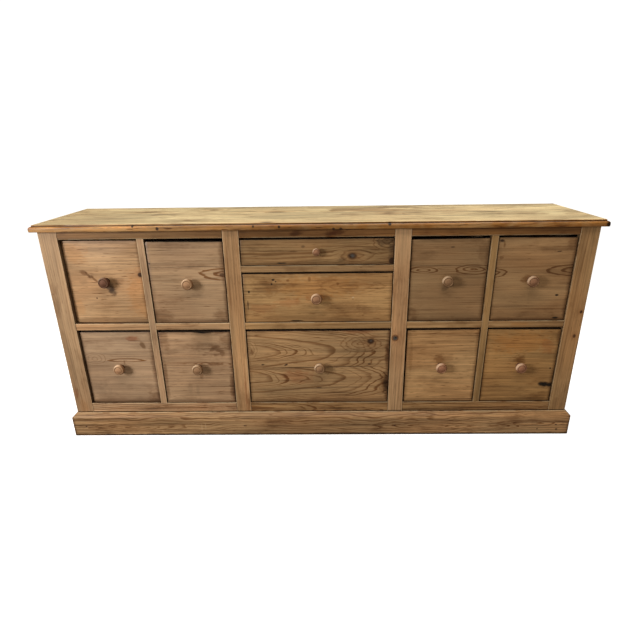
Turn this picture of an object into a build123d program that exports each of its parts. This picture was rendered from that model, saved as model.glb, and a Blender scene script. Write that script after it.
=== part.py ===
from build123d import *
import os

# Pine bank of drawers: a face-framed case on a plinth, with eleven dovetailed drawers.
# Millimetres. +X is to the right as seen from the front, the front faces -Y, +Z is up.
# The origin lies on the floor, at the middle of the whole width and depth.

os.makedirs("parts", exist_ok=True)

# Case
body_width = 2000.0
case_depth = 413.0
plinth_height = 102.0
bottom_rail_show = 42.0
lower_opening_height = 322.5
middle_rail_height = 27.5
upper_opening_height = 325.0
top_rail_height = 30.0
centre_top_opening_share = 0.31538
centre_rail_height = 25.0
bottom_rail_height = 80.0

# Face frame
frame_thickness = 22.0
corner_stile_width = 68.0
main_stile_width = 58.5
muntin_width = 25.3
small_opening_share = 0.16771
tenon_thickness = 8.0
tenon_length = 20.0
tenon_shoulder = 5.0
muntin_tenon_length = 12.0
muntin_tenon_shoulder = 4.0

# Top
top_thickness = 24.5
top_overhang = 19.0
top_step = 9.0
top_quirk_height = 5.0
top_ovolo_radius = 8.0
top_lower_round = 3.0
top_front_board_share = 0.6

# Plinth
plinth_thickness = 18.7
plinth_flat = 1.5
plinth_bevel_height = 15.0

# Ends, partitions, base and back
end_thickness = 20.0
partition_thickness = 20.0
base_thickness = 18.0
base_housing_depth = 6.0
bearer_thickness = 45.0
back_thickness = 12.0
back_rebate = 10.0
back_foot_gap = 40.0
back_board_count = 11
back_tongue_length = 5.0
back_tongue_thickness = 4.0
back_vee = 2.0
back_rail_thickness = 20.0

# Runners, guides, kickers and stops
runner_height = 25.0
runner_ledge = 18.0
guide_height = 28.0
stop_thickness = 12.0
stop_height = 30.0

# Drawers
front_thickness = 20.0
side_thickness = 10.0
drawer_back_thickness = 10.0
bottom_thickness = 8.0
bottom_lift = 10.0
bottom_groove_depth = 5.0
side_drop = 3.0
back_drop = 6.0
dovetail_lap = 6.0
dovetail_pitch = 62.0
dovetail_slope = 6.0
dovetail_end_margin = 4.0
tail_width_share = 0.62
running_clearance = 0.3
front_bottom_gap = 1.2
deepest_recess = 14.0
widest_side_gap = 6.0
widest_top_gap = 14.0

# Knobs
knob_diameter = 42.0
knob_projection = 34.0
small_knob_share = 0.66
knob_tenon_radius = 8.0
knob_bore_clearance = 0.1
knob_base_share = 0.31
knob_neck_share = 0.25
knob_neck_place_share = 0.24
knob_shoulder_share = 0.42
knob_shoulder_place_share = 0.5
knob_edge_place_share = 0.66
knob_brow_share = 0.38
knob_brow_place_share = 0.93
knob_groove_share = 0.33
knob_groove_place_share = 0.895
knob_boss_share = 0.28
knob_boss_place_share = 0.94

# Nails
nail_head_width = 7.0
nail_head_height = 4.5
nail_head_thickness = 1.5
nail_shank_width = 3.6
nail_shank_height = 2.8
nail_bite = 14.0
plinth_nail_height_share = 0.44
plinth_return_nail_shares = (0.12, 0.5, 0.9)

# How far each front sits back from the face of the frame, as a share of the deepest recess.
recess_shares = {
    "left_upper_outer": 1.0,
    "left_upper_inner": 0.25,
    "left_lower_outer": 0.75,
    "left_lower_inner": 0.25,
    "centre_top": 0.25,
    "centre_middle": 0.25,
    "centre_bottom": 0.3,
    "right_upper_inner": 0.4,
    "right_upper_outer": 0.3,
    "right_lower_inner": 0.38,
    "right_lower_outer": 0.3,
}

# Gap over each front at its left and right end, as a share of the widest top gap.
top_gap_shares = {
    "left_upper_outer": (0.44, 0.58),
    "left_upper_inner": (0.78, 0.98),
    "left_lower_outer": (0.81, 0.81),
    "left_lower_inner": (0.78, 0.78),
    "centre_top": (0.59, 0.46),
    "centre_middle": (0.49, 0.49),
    "centre_bottom": (0.68, 0.68),
    "right_upper_inner": (0.93, 0.75),
    "right_upper_outer": (0.57, 0.77),
    "right_lower_inner": (0.8, 0.54),
    "right_lower_outer": (0.59, 0.73),
}

# Gap at the left and the right end of each front, as a share of the widest side gap.
side_gap_shares = {
    "left_upper_outer": (0.45, 0.4),
    "left_upper_inner": (0.5, 0.55),
    "left_lower_outer": (0.5, 0.5),
    "left_lower_inner": (0.45, 0.5),
    "centre_top": (0.4, 0.4),
    "centre_middle": (0.45, 0.4),
    "centre_bottom": (0.45, 0.5),
    "right_upper_inner": (0.55, 0.4),
    "right_upper_outer": (0.4, 0.45),
    "right_lower_inner": (1.0, 0.4),
    "right_lower_outer": (0.45, 0.45),
}

# Place of each knob across and up its opening, as shares of the opening.
knob_place_shares = {
    "left_upper_outer": (0.507, 0.51),
    "left_upper_inner": (0.512, 0.492),
    "left_lower_outer": (0.503, 0.494),
    "left_lower_inner": (0.515, 0.498),
    "centre_top": (0.497, 0.5),
    "centre_middle": (0.493, 0.502),
    "centre_bottom": (0.508, 0.504),
    "right_upper_inner": (0.484, 0.497),
    "right_upper_outer": (0.476, 0.49),
    "right_lower_inner": (0.5, 0.496),
    "right_lower_outer": (0.498, 0.49),
}

# Size of each knob, as a share of the full knob.
knob_size_shares = {name: 1.0 for name in recess_shares}
knob_size_shares["centre_top"] = small_knob_share

# Levels
bottom_rail_top = plinth_height + bottom_rail_show
middle_rail_bottom = bottom_rail_top + lower_opening_height
middle_rail_top = middle_rail_bottom + middle_rail_height
top_rail_bottom = middle_rail_top + upper_opening_height
top_underside = top_rail_bottom + top_rail_height
top_surface = top_underside + top_thickness
centre_rail_top = top_rail_bottom - upper_opening_height * centre_top_opening_share
centre_rail_bottom = centre_rail_top - centre_rail_height
base_bottom = bottom_rail_top - base_thickness

# Depths: the foremost knob and the back of the case lie equally far from the origin
knob_reach = max(knob_projection * knob_size_shares[name] - deepest_recess * recess_shares[name]
                 for name in recess_shares)
case_front = (knob_reach - case_depth) / 2
case_back = case_front + case_depth
frame_back = case_front + frame_thickness
frame_middle = case_front + frame_thickness / 2
back_inner = case_back - back_thickness
stop_front = back_inner - stop_thickness

# Widths, counted from the left corner
body_left = -body_width / 2
body_right = body_width / 2
clear_width = body_width - 2 * (corner_stile_width + main_stile_width + muntin_width)
small_opening_width = clear_width * small_opening_share
left_outer_low = body_left + corner_stile_width
left_outer_high = left_outer_low + small_opening_width
left_inner_low = left_outer_high + muntin_width
left_inner_high = left_inner_low + small_opening_width
centre_low = left_inner_high + main_stile_width
centre_high = -centre_low
right_inner_low = -left_inner_high
right_inner_high = -left_inner_low
right_outer_low = -left_outer_high
right_outer_high = -left_outer_low
left_partition_x = (left_inner_high + centre_low) / 2
right_partition_x = -left_partition_x
end_inner_left = body_left + end_thickness
end_inner_right = body_right - end_thickness

# The opening of each drawer: left, right, bottom, top
drawer_openings = {
    "left_upper_outer": (left_outer_low, left_outer_high, middle_rail_top, top_rail_bottom),
    "left_upper_inner": (left_inner_low, left_inner_high, middle_rail_top, top_rail_bottom),
    "left_lower_outer": (left_outer_low, left_outer_high, bottom_rail_top, middle_rail_bottom),
    "left_lower_inner": (left_inner_low, left_inner_high, bottom_rail_top, middle_rail_bottom),
    "centre_top": (centre_low, centre_high, centre_rail_top, top_rail_bottom),
    "centre_middle": (centre_low, centre_high, middle_rail_top, centre_rail_bottom),
    "centre_bottom": (centre_low, centre_high, bottom_rail_top, middle_rail_bottom),
    "right_upper_inner": (right_inner_low, right_inner_high, middle_rail_top, top_rail_bottom),
    "right_upper_outer": (right_outer_low, right_outer_high, middle_rail_top, top_rail_bottom),
    "right_lower_inner": (right_inner_low, right_inner_high, bottom_rail_top, middle_rail_bottom),
    "right_lower_outer": (right_outer_low, right_outer_high, bottom_rail_top, middle_rail_bottom),
}


def save(piece, name):
    """Names a finished piece and writes its file."""
    piece.label = name
    export_step(piece, f"parts/{name}.step")


def block(low, high):
    """A squared block between two opposite corners, in the part being built."""
    with Locations([((low[0] + high[0]) / 2, (low[1] + high[1]) / 2, (low[2] + high[2]) / 2)]):
        Box(high[0] - low[0], high[1] - low[1], high[2] - low[2])


def board(low, high, cuts=()):
    """A squared board between two opposite corners, less the pieces let into it."""
    with BuildPart() as blank:
        block(low, high)
        if cuts:
            add(cuts, mode=Mode.SUBTRACT)
    return blank.part


# Nails: a flat rectangular head and a rectangular shank, flush with the board that they hold
def nail(place, drive, length):
    """A cut nail with its head's middle at a place, driven along an axis direction."""
    axis_plane = Plane(origin=place, x_dir=(drive[1], drive[0], 0), z_dir=drive)
    with BuildPart() as piece:
        with BuildSketch(axis_plane):
            Rectangle(nail_head_width, nail_head_height)
        extrude(amount=nail_head_thickness)
        with BuildSketch(axis_plane.offset(nail_head_thickness)):
            Rectangle(nail_shank_width, nail_shank_height)
        extrude(amount=length - nail_head_thickness)
    return piece.part


plinth_front_face = case_front - plinth_thickness
plinth_left_face = body_left - plinth_thickness
stile_middles = (body_left + corner_stile_width / 2, left_partition_x, right_partition_x,
                 body_right - corner_stile_width / 2)
plinth_nail_height = plinth_height * plinth_nail_height_share
plinth_front_nails = [
    nail((x, plinth_front_face, plinth_nail_height), (0, 1, 0), plinth_thickness + nail_bite)
    for x in stile_middles
]
plinth_left_nails = [
    nail((plinth_left_face, case_front + case_depth * share, plinth_nail_height), (1, 0, 0),
         plinth_thickness + nail_bite)
    for share in plinth_return_nail_shares
]
plinth_right_nails = [
    nail((-plinth_left_face, case_front + case_depth * share, plinth_nail_height), (-1, 0, 0),
         plinth_thickness + nail_bite)
    for share in plinth_return_nail_shares
]
back_left = end_inner_left - back_rebate
back_board_pitch = -back_left * 2 / back_board_count
back_nails = [
    nail((back_left + back_board_pitch * (index + 1 / 2), case_back, height), (0, -1, 0),
         back_thickness + nail_bite)
    for index in range(back_board_count)
    for height in (base_bottom + base_thickness / 2, top_underside - top_rail_height / 2)
]
save(Compound(children=plinth_front_nails + plinth_left_nails + plinth_right_nails + back_nails), "nails")


# Muntins: in front where they cross the middle rail, stub tenons at both ends
def muntin(x_low, x_high):
    middle = (x_low + x_high) / 2
    tenon_width = muntin_width - 2 * muntin_tenon_shoulder
    with BuildPart() as piece:
        block((x_low, case_front, bottom_rail_top), (x_high, frame_back, top_rail_bottom))
        block((middle - tenon_width / 2, frame_middle - tenon_thickness / 2, bottom_rail_top - muntin_tenon_length),
              (middle + tenon_width / 2, frame_middle + tenon_thickness / 2, top_rail_bottom + muntin_tenon_length))
        with Locations([(middle, frame_middle + frame_thickness / 4, (middle_rail_bottom + middle_rail_top) / 2)]):
            Box(muntin_width, frame_thickness / 2, middle_rail_height, mode=Mode.SUBTRACT)
    return piece.part


left_muntin = muntin(left_outer_high, left_inner_low)
right_muntin = muntin(right_inner_high, right_outer_low)
save(left_muntin, "left_muntin")
save(right_muntin, "right_muntin")


# Rails: tenoned into the stiles, mortised and halved for the muntins
def bank_rails(x_low, x_high, spans, crossings=()):
    """All rails of one bank of drawers, given their bottoms and tops."""
    with BuildPart() as piece:
        for z_low, z_high in spans:
            block((x_low, case_front, z_low), (x_high, frame_back, z_high))
            block((x_low - tenon_length, frame_middle - tenon_thickness / 2, z_low + tenon_shoulder),
                  (x_high + tenon_length, frame_middle + tenon_thickness / 2, z_high - tenon_shoulder))
        if crossings:
            add(crossings, mode=Mode.SUBTRACT)
    return piece.part


bottom_span = (bottom_rail_top - bottom_rail_height, bottom_rail_top)
middle_span = (middle_rail_bottom, middle_rail_top)
top_span = (top_rail_bottom, top_underside)
centre_span = (centre_rail_bottom, centre_rail_top)
side_spans = (bottom_span, middle_span, top_span)
left_bank_rails = bank_rails(left_outer_low, left_inner_high, side_spans, (left_muntin,))
centre_bank_rails = bank_rails(centre_low, centre_high, (bottom_span, middle_span, centre_span, top_span))
right_bank_rails = bank_rails(right_inner_low, right_outer_high, side_spans, (right_muntin,))
save(left_bank_rails, "left_bank_rails")
save(centre_bank_rails, "centre_bank_rails")
save(right_bank_rails, "right_bank_rails")


# Stiles: from the floor to the top, mortised for the rails
def stile(x_low, x_high, rails):
    return board((x_low, case_front, 0), (x_high, frame_back, top_underside), list(rails) + plinth_front_nails)


save(stile(body_left, left_outer_low, (left_bank_rails,)), "left_corner_stile")
save(stile(left_inner_high, centre_low, (left_bank_rails, centre_bank_rails)), "left_main_stile")
save(stile(centre_high, right_inner_low, (centre_bank_rails, right_bank_rails)), "right_main_stile")
save(stile(right_outer_high, body_right, (right_bank_rails,)), "right_corner_stile")

# Base board, housed in the end panels, and the bearers under it
base_board = board((end_inner_left - base_housing_depth, frame_back, base_bottom),
                   (end_inner_right + base_housing_depth, back_inner, bottom_rail_top), back_nails)
save(base_board, "base_board")
with BuildPart() as base_bearers:
    for x in (left_partition_x, right_partition_x):
        block((x - bearer_thickness / 2, frame_back, 0), (x + bearer_thickness / 2, back_inner, base_bottom))
save(base_bearers.part, "base_bearers")


# Back: upright boards, tongued and grooved into each other, let into a rebate of the end panels
def back_board(index):
    x_low = back_left + back_board_pitch * index
    x_high = x_low + back_board_pitch
    tongue_back = case_back - (back_thickness - back_tongue_thickness) / 2
    tongue_front = tongue_back - back_tongue_thickness
    with BuildPart() as piece:
        with BuildSketch(Plane.XY.offset(back_foot_gap)):
            Polygon((x_low, back_inner), (x_high, back_inner), (x_high, case_back - back_vee),
                    (x_high - back_vee, case_back), (x_low + back_vee, case_back), (x_low, case_back - back_vee),
                    align=None)
            if index + 1 < back_board_count:
                with Locations((x_high + back_tongue_length / 2, (tongue_front + tongue_back) / 2)):
                    Rectangle(back_tongue_length, back_tongue_thickness)
            if index > 0:
                with Locations((x_low + back_tongue_length / 2, (tongue_front + tongue_back) / 2)):
                    Rectangle(back_tongue_length, back_tongue_thickness, mode=Mode.SUBTRACT)
        extrude(amount=top_underside - back_foot_gap)
        add(back_nails[2 * index:2 * index + 2], mode=Mode.SUBTRACT)
    return piece.part


back_boards = Compound(children=[back_board(index) for index in range(back_board_count)])
save(back_boards, "back_boards")


# End panels: behind the corner stiles, housed for the base board and rebated for the back
def end_panel(x_outer, x_inner, nails):
    x_low = min(x_outer, x_inner)
    x_high = max(x_outer, x_inner)
    with BuildPart() as piece:
        block((x_low, frame_back, 0), (x_high, case_back, top_underside))
        add(base_board, mode=Mode.SUBTRACT)
        with Locations([(x_inner, case_back - back_thickness / 2, (back_foot_gap + top_underside) / 2)]):
            Box(2 * back_rebate, back_thickness, top_underside - back_foot_gap, mode=Mode.SUBTRACT)
        add(nails, mode=Mode.SUBTRACT)
    return piece.part


save(end_panel(body_left, end_inner_left, plinth_left_nails), "left_end_panel")
save(end_panel(body_right, end_inner_right, plinth_right_nails), "right_end_panel")


# Partitions behind the main stiles
def partition(x):
    return board((x - partition_thickness / 2, frame_back, bottom_rail_top),
                 (x + partition_thickness / 2, back_inner, top_underside), back_nails)


save(partition(left_partition_x), "left_partition")
save(partition(right_partition_x), "right_partition")

# Rails at the top of the back, between the end panels and the partitions
left_partition_low = left_partition_x - partition_thickness / 2
left_partition_high = left_partition_x + partition_thickness / 2
bay_walls = ((end_inner_left, left_partition_low), (left_partition_high, -left_partition_high),
             (-left_partition_low, end_inner_right))
back_rail_front = back_inner - back_rail_thickness
with BuildPart() as back_rails:
    for x_low, x_high in bay_walls:
        block((x_low, back_rail_front, top_rail_bottom), (x_high, back_inner, top_underside))
    add(back_nails, mode=Mode.SUBTRACT)
save(back_rails.part, "back_rails")

# Top: two boards, moulded at the front and at both ends
top_left = body_left - top_overhang
top_front = case_front - top_overhang
top_shoulder = top_surface - top_quirk_height
with BuildPart() as whole_top:
    with BuildSketch(Plane.XY.offset(top_underside)):
        with Locations((0, (top_front + case_back) / 2)):
            Rectangle(-2 * top_left, case_back - top_front)
    extrude(amount=top_thickness - top_quirk_height)
    shoulder_edges = whole_top.edges().group_by(Axis.Z)[-1].sort_by(Axis.Y)[:-1]
    fillet(shoulder_edges, radius=top_ovolo_radius)
    foot_edges = whole_top.edges().group_by(Axis.Z)[0].sort_by(Axis.Y)[:-1]
    fillet(foot_edges, radius=top_lower_round)
    with BuildSketch(Plane.XY.offset(top_shoulder)):
        with Locations((0, (top_front + top_step + case_back) / 2)):
            Rectangle(-2 * (top_left + top_step), case_back - top_front - top_step)
    extrude(amount=top_quirk_height)
top_seam = top_front + (case_back - top_front) * top_front_board_share
top_seam_plane = Plane(origin=(0, top_seam, 0), x_dir=(1, 0, 0), z_dir=(0, -1, 0))
with BuildPart() as top_front_board:
    add(whole_top.part)
    split(bisect_by=top_seam_plane, keep=Keep.TOP)
with BuildPart() as top_back_board:
    add(whole_top.part)
    split(bisect_by=top_seam_plane, keep=Keep.BOTTOM)
save(top_front_board.part, "top_front_board")
save(top_back_board.part, "top_back_board")

# Plinth: three bevelled boards, mitred at the front corners
plinth_profile = (
    (0, 0),
    (plinth_thickness, 0),
    (plinth_thickness, plinth_height - plinth_bevel_height),
    (plinth_flat, plinth_height),
    (0, plinth_height),
)


def mitre(side):
    """The plane of a front corner's mitre, its upper side towards the front board."""
    return Plane(origin=(side * body_width / 2, case_front, 0), x_dir=(0, 0, 1), z_dir=(-side, -1, 0))


with BuildPart() as plinth_front:
    with BuildSketch(Plane.YZ.offset(plinth_left_face)):
        Polygon(*[(case_front - out, up) for out, up in plinth_profile], align=None)
    extrude(amount=-2 * plinth_left_face)
    split(bisect_by=mitre(-1), keep=Keep.TOP)
    split(bisect_by=mitre(1), keep=Keep.TOP)
    add(plinth_front_nails, mode=Mode.SUBTRACT)
save(plinth_front.part, "plinth_front")


def plinth_return(side, nails):
    with BuildPart() as piece:
        with BuildSketch(Plane.XZ.offset(-case_back)):
            Polygon(*[(side * (body_width / 2 + out), up) for out, up in plinth_profile], align=None)
        extrude(amount=case_depth + plinth_thickness)
        split(bisect_by=mitre(side), keep=Keep.BOTTOM)
        add(nails, mode=Mode.SUBTRACT)
    return piece.part


save(plinth_return(-1, plinth_left_nails), "plinth_left")
save(plinth_return(1, plinth_right_nails), "plinth_right")

# Runners, guides and kickers: one set beside each wall and one behind each muntin
side_bays = (
    (end_inner_left, left_outer_low, left_outer_low + runner_ledge),
    (left_partition_low, left_inner_high, left_inner_high - runner_ledge),
    (-left_partition_low, right_inner_low, right_inner_low + runner_ledge),
    (end_inner_right, right_outer_high, right_outer_high - runner_ledge),
)
centre_bays = (
    (left_partition_high, centre_low, centre_low + runner_ledge),
    (-left_partition_high, centre_high, centre_high - runner_ledge),
)
muntin_bays = ((left_outer_high, left_inner_low), (right_inner_high, right_outer_low))


def strip(x_one, x_two, y_high, z_low, z_high):
    """A strip from the back of the face frame towards the back of the case."""
    block((min(x_one, x_two), frame_back, z_low), (max(x_one, x_two), y_high, z_high))


with BuildPart() as drawer_runners:
    for wall, edge, ledge in side_bays:
        strip(wall, ledge, back_inner, middle_rail_top - runner_height, middle_rail_top)
    for x_low, x_high in muntin_bays:
        strip(x_low - runner_ledge, x_high + runner_ledge, back_inner, middle_rail_top - runner_height,
              middle_rail_top)
    for wall, edge, ledge in centre_bays:
        for level in (middle_rail_top, centre_rail_top):
            strip(wall, ledge, back_inner, level - runner_height, level)
save(drawer_runners.part, "drawer_runners")

with BuildPart() as drawer_guides:
    for level in (bottom_rail_top, middle_rail_top):
        for wall, edge, ledge in side_bays:
            strip(wall, edge, back_inner, level, level + guide_height)
        for x_low, x_high in muntin_bays:
            strip(x_low, x_high, back_inner, level, level + guide_height)
    for level in (bottom_rail_top, middle_rail_top, centre_rail_top):
        for wall, edge, ledge in centre_bays:
            strip(wall, edge, back_inner, level, level + guide_height)
save(drawer_guides.part, "drawer_guides")

with BuildPart() as drawer_kickers:
    for wall, edge, ledge in side_bays + centre_bays:
        strip(wall, ledge, back_rail_front, top_rail_bottom, top_underside)
    for x_low, x_high in muntin_bays:
        strip(x_low - runner_ledge, x_high + runner_ledge, back_rail_front, top_rail_bottom, top_underside)
save(drawer_kickers.part, "drawer_kickers")


# Drawers
def tail_shapes(y_root, y_tip, z_low, z_high):
    """Outlines of the dovetails along one end of a drawer side, wider at their tips, between half pins."""
    lowest = z_low + dovetail_end_margin
    span = z_high - dovetail_end_margin - lowest
    count = max(2, round(span / dovetail_pitch))
    pitch = span / (count - 1 + tail_width_share)
    tip_half = pitch * tail_width_share / 2
    root_half = tip_half - abs(y_tip - y_root) / dovetail_slope
    shapes = []
    for index in range(count):
        middle = lowest + tip_half + pitch * index
        shapes.append([(y_root, middle - root_half), (y_tip, middle - tip_half), (y_tip, middle + tip_half),
                       (y_root, middle + root_half)])
    return shapes


def knob_piece(x, y, z, size_share):
    """A turned knob whose tenon fills the bore of its drawer front."""
    radius = knob_diameter * size_share / 2
    width = 2 * radius
    reach = knob_projection * size_share
    tenon = knob_tenon_radius * size_share
    turning_plane = Plane(origin=(x, y, z), x_dir=(1, 0, 0), z_dir=(0, 0, -1))
    base_point = (width * knob_base_share, 0)
    neck_point = (width * knob_neck_share, reach * knob_neck_place_share)
    shoulder_point = (width * knob_shoulder_share, reach * knob_shoulder_place_share)
    edge_point = (radius, reach * knob_edge_place_share)
    brow_point = (width * knob_brow_share, reach * knob_brow_place_share)
    groove_point = (width * knob_groove_share, reach * knob_groove_place_share)
    boss_point = (width * knob_boss_share, reach * knob_boss_place_share)
    with BuildPart() as piece:
        with BuildSketch(turning_plane):
            with BuildLine():
                Polyline((0, reach), (0, -front_thickness), (tenon, -front_thickness), (tenon, 0), base_point)
                ThreePointArc(base_point, neck_point, shoulder_point)
                Spline(shoulder_point, edge_point, tangents=((1, 1 / 2), (0, 1)))
                Spline(edge_point, brow_point, tangents=((0, 1), (-1, 1 / 4)))
                ThreePointArc(brow_point, groove_point, boss_point)
                Spline(boss_point, (0, reach), tangents=((-1, 1 / 4), (-1, 0)))
            make_face()
        revolve(axis=Axis((x, y, z), (0, -1, 0)))
    return piece.part


stops = []
for name, (x_low, x_high, z_low, z_high) in drawer_openings.items():
    gap_left_share, gap_right_share = side_gap_shares[name]
    top_left_share, top_right_share = top_gap_shares[name]
    knob_x_share, knob_z_share = knob_place_shares[name]
    size_share = knob_size_shares[name]
    front_left = x_low + widest_side_gap * gap_left_share
    front_right = x_high - widest_side_gap * gap_right_share
    front_bottom = z_low + front_bottom_gap
    front_top_left = z_high - widest_top_gap * top_left_share
    front_top_right = z_high - widest_top_gap * top_right_share
    front_face = case_front + deepest_recess * recess_shares[name]
    front_inner = front_face + front_thickness
    side_bottom = z_low + running_clearance
    side_top = min(front_top_left, front_top_right) - side_drop
    box_back = stop_front - running_clearance
    back_face = box_back - drawer_back_thickness
    panel_bottom = side_bottom + bottom_lift
    panel_top = panel_bottom + bottom_thickness
    side_inner_left = front_left + side_thickness
    side_inner_right = front_right - side_thickness

    # Bottom panel, in grooves of the front and the sides, passing under the back
    drawer_bottom = board(
        (side_inner_left - bottom_groove_depth, front_inner - bottom_groove_depth, panel_bottom),
        (side_inner_right + bottom_groove_depth, box_back, panel_top))

    # Sides, with tails for the front and the back; the groove for the bottom runs out inside the lowest tail
    tails = tail_shapes(front_inner, front_face + dovetail_lap, front_bottom, side_top)
    tails += tail_shapes(back_face, box_back, panel_top, side_top - back_drop)
    sides = []
    for x_face in (front_left, side_inner_right):
        with BuildPart() as drawer_side:
            with BuildSketch(Plane.YZ.offset(x_face)):
                with Locations(((front_inner + back_face) / 2, (side_bottom + side_top) / 2)):
                    Rectangle(back_face - front_inner, side_top - side_bottom)
                with Locations(((back_face + box_back) / 2, (side_bottom + panel_top) / 2)):
                    Rectangle(box_back - back_face, panel_top - side_bottom)
                for shape in tails:
                    Polygon(*shape, align=None)
            extrude(amount=side_thickness)
            add(drawer_bottom, mode=Mode.SUBTRACT)
        sides.append(drawer_side.part)

    # Back, with pins between the tails of the sides
    drawer_back = board((front_left, back_face, panel_top), (front_right, box_back, side_top - back_drop), sides)

    # Front, with sockets for the tails, a groove for the bottom and a bore for the knob
    knob_x = x_low + (x_high - x_low) * knob_x_share
    knob_z = z_low + (z_high - z_low) * knob_z_share
    with BuildPart() as drawer_front:
        with BuildSketch(Plane.XZ.offset(-front_inner)):
            Polygon((front_left, front_bottom), (front_right, front_bottom), (front_right, front_top_right),
                    (front_left, front_top_left), align=None)
        extrude(amount=front_thickness)
        with BuildSketch(Plane.XZ.offset(-front_inner)):
            with Locations((knob_x, knob_z)):
                Circle(knob_tenon_radius * size_share + knob_bore_clearance)
        extrude(amount=front_thickness, mode=Mode.SUBTRACT)
        add(sides + [drawer_bottom], mode=Mode.SUBTRACT)

    save(drawer_front.part, f"{name}_front")
    save(Compound(children=sides + [drawer_back, drawer_bottom]), f"{name}_box")
    save(knob_piece(knob_x, front_face, knob_z, size_share), f"{name}_knob")

    # A stop behind the end of each side
    for x_face in (front_left, side_inner_right):
        stops.append(board((x_face, stop_front, z_low), (x_face + side_thickness, back_inner, z_low + stop_height)))

save(Compound(children=stops), "drawer_stops")
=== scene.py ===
import math
from itertools import product

import bmesh
import bpy
from mathutils import Matrix, Vector, noise


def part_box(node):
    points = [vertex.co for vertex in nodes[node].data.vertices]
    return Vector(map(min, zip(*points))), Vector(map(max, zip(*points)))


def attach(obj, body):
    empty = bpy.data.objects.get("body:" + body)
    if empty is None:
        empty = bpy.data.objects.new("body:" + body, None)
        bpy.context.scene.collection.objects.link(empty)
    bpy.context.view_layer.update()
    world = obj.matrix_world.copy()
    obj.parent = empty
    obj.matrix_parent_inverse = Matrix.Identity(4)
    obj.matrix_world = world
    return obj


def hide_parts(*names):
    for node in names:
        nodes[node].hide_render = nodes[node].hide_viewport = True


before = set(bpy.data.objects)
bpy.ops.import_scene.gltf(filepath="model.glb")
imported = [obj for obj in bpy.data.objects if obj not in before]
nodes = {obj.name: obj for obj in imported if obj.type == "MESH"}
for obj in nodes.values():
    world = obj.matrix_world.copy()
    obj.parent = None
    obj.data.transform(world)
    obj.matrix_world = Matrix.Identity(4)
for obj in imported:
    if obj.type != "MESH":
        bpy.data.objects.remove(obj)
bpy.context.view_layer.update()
scene = bpy.context.scene

MM = 0.001

# Places taken from the frame
case_low, case_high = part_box("left_corner_stile")
CASE_FRONT = case_low[1]
FRAME_BACK = case_high[1]
MUNTIN_TENON = 12 * MM
top_low, top_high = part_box("top_front_board")
TOP_HALF = (top_high[2] - top_low[2]) / 2
TOP_QUIRK = 5 * MM

# Meshes: how close two places are one, which edges are arrises, and how they are rounded and worn
NEAR = 1e-5
MERGE = 1e-6
FLAT_ANGLE = 0.002
ARRIS_ANGLE = math.radians(25)
SMOOTH_ANGLE = math.radians(40)
BEVEL_SEGMENTS = 3
BOARD_STEP = 24 * MM
LEAST_STEP = 6 * MM
FRAME_ARRIS, FRAME_WEAR = 0.7 * MM, 0.35 * MM
BOARD_ARRIS, PLINTH_ARRIS, BOARD_WEAR = 0.8 * MM, 1.2 * MM, 0.5 * MM
FRONT_ARRIS, FRONT_WEAR, FRONT_STEP = 1.3 * MM, 0.5 * MM, 12 * MM

# Colours, linear
WHITE = (1, 1, 1)
EARLY = (0.47, 0.285, 0.135)
LATE = (0.2, 0.088, 0.03)
GREY_PINE = (0.4, 0.272, 0.16)
RED_PINE = (0.4, 0.19, 0.072)
OVERHANG_SHADED_PINE = (0.435, 0.238, 0.104)
RAW_EARLY = (0.5, 0.34, 0.185)
RAW_LATE = (0.27, 0.14, 0.06)
KNOT_DARK = (0.03, 0.016, 0.01)
KNOT_BROWN = (0.12, 0.055, 0.024)
KNOT_HALO = (0.72, 0.52, 0.4)
PALE = (0.68, 0.5, 0.29)
STAIN = (0.36, 0.26, 0.18)
GRIME = (0.22, 0.15, 0.1)
HAND_DIRT_AND_SHADE = (0.1, 0.07, 0.05)
FRONT_END_DIRT_AND_SHADE = (0.24, 0.17, 0.12)
FRONT_FLAT_DIRT_AND_SHADE = (0.05, 0.035, 0.025)
FRAME_DIRT_AND_SHADE = (0.13, 0.09, 0.065)
MOULDING_VARNISH_LIT_LEFT = (0.82, 0.54, 0.32)
MOULDING_VARNISH_SHADED_RIGHT = (0.46, 0.26, 0.11)
MOULDING_PAINTED_HIGHLIGHT = (1.55, 1.5, 1.5)
QUIRK_PAINTED_SHADE = (0.1, 0.06, 0.035)
PLINTH_BEVEL_HIGHLIGHT = (1.1, 1.1, 1.06)
KNOB_PALE = (0.46, 0.285, 0.145)
KNOB_RED = (0.42, 0.19, 0.11)
KNOB_LATE = (0.22, 0.1, 0.045)
KNOB_WORN = (0.58, 0.38, 0.22)
KNOB_PAINTED_HIGHLIGHT = (0.74, 0.55, 0.37)
KNOB_NECK_DIRT_AND_SHADE = (0.15, 0.1, 0.07)
KNOB_PAINTED_SHADE = (0.3, 0.21, 0.15)
KNOB_GROOVE_DARK = (0.42, 0.34, 0.28)
KNOB_HANDLED = (0.8, 0.7, 0.7)
IRON = (0.035, 0.028, 0.024)
RUST = (0.13, 0.05, 0.02)
MARK_KINDS = {
    "dark": ("MIX", KNOT_DARK),
    "black": ("MIX", (0.006, 0.005, 0.004)),
    "pale": ("MIX", PALE),
    "brown": ("MULTIPLY", (0.45, 0.35, 0.27)),
    "grey": ("MULTIPLY", (0.33, 0.33, 0.36)),
    "red": ("MULTIPLY", (0.78, 0.54, 0.46)),
    "orange": ("MULTIPLY", (1, 0.75, 0.48)),
    "slate": ("MIX", (0.085, 0.082, 0.072)),
    "lift": ("MULTIPLY", (1.27, 1.28, 1.3)),
}

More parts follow.
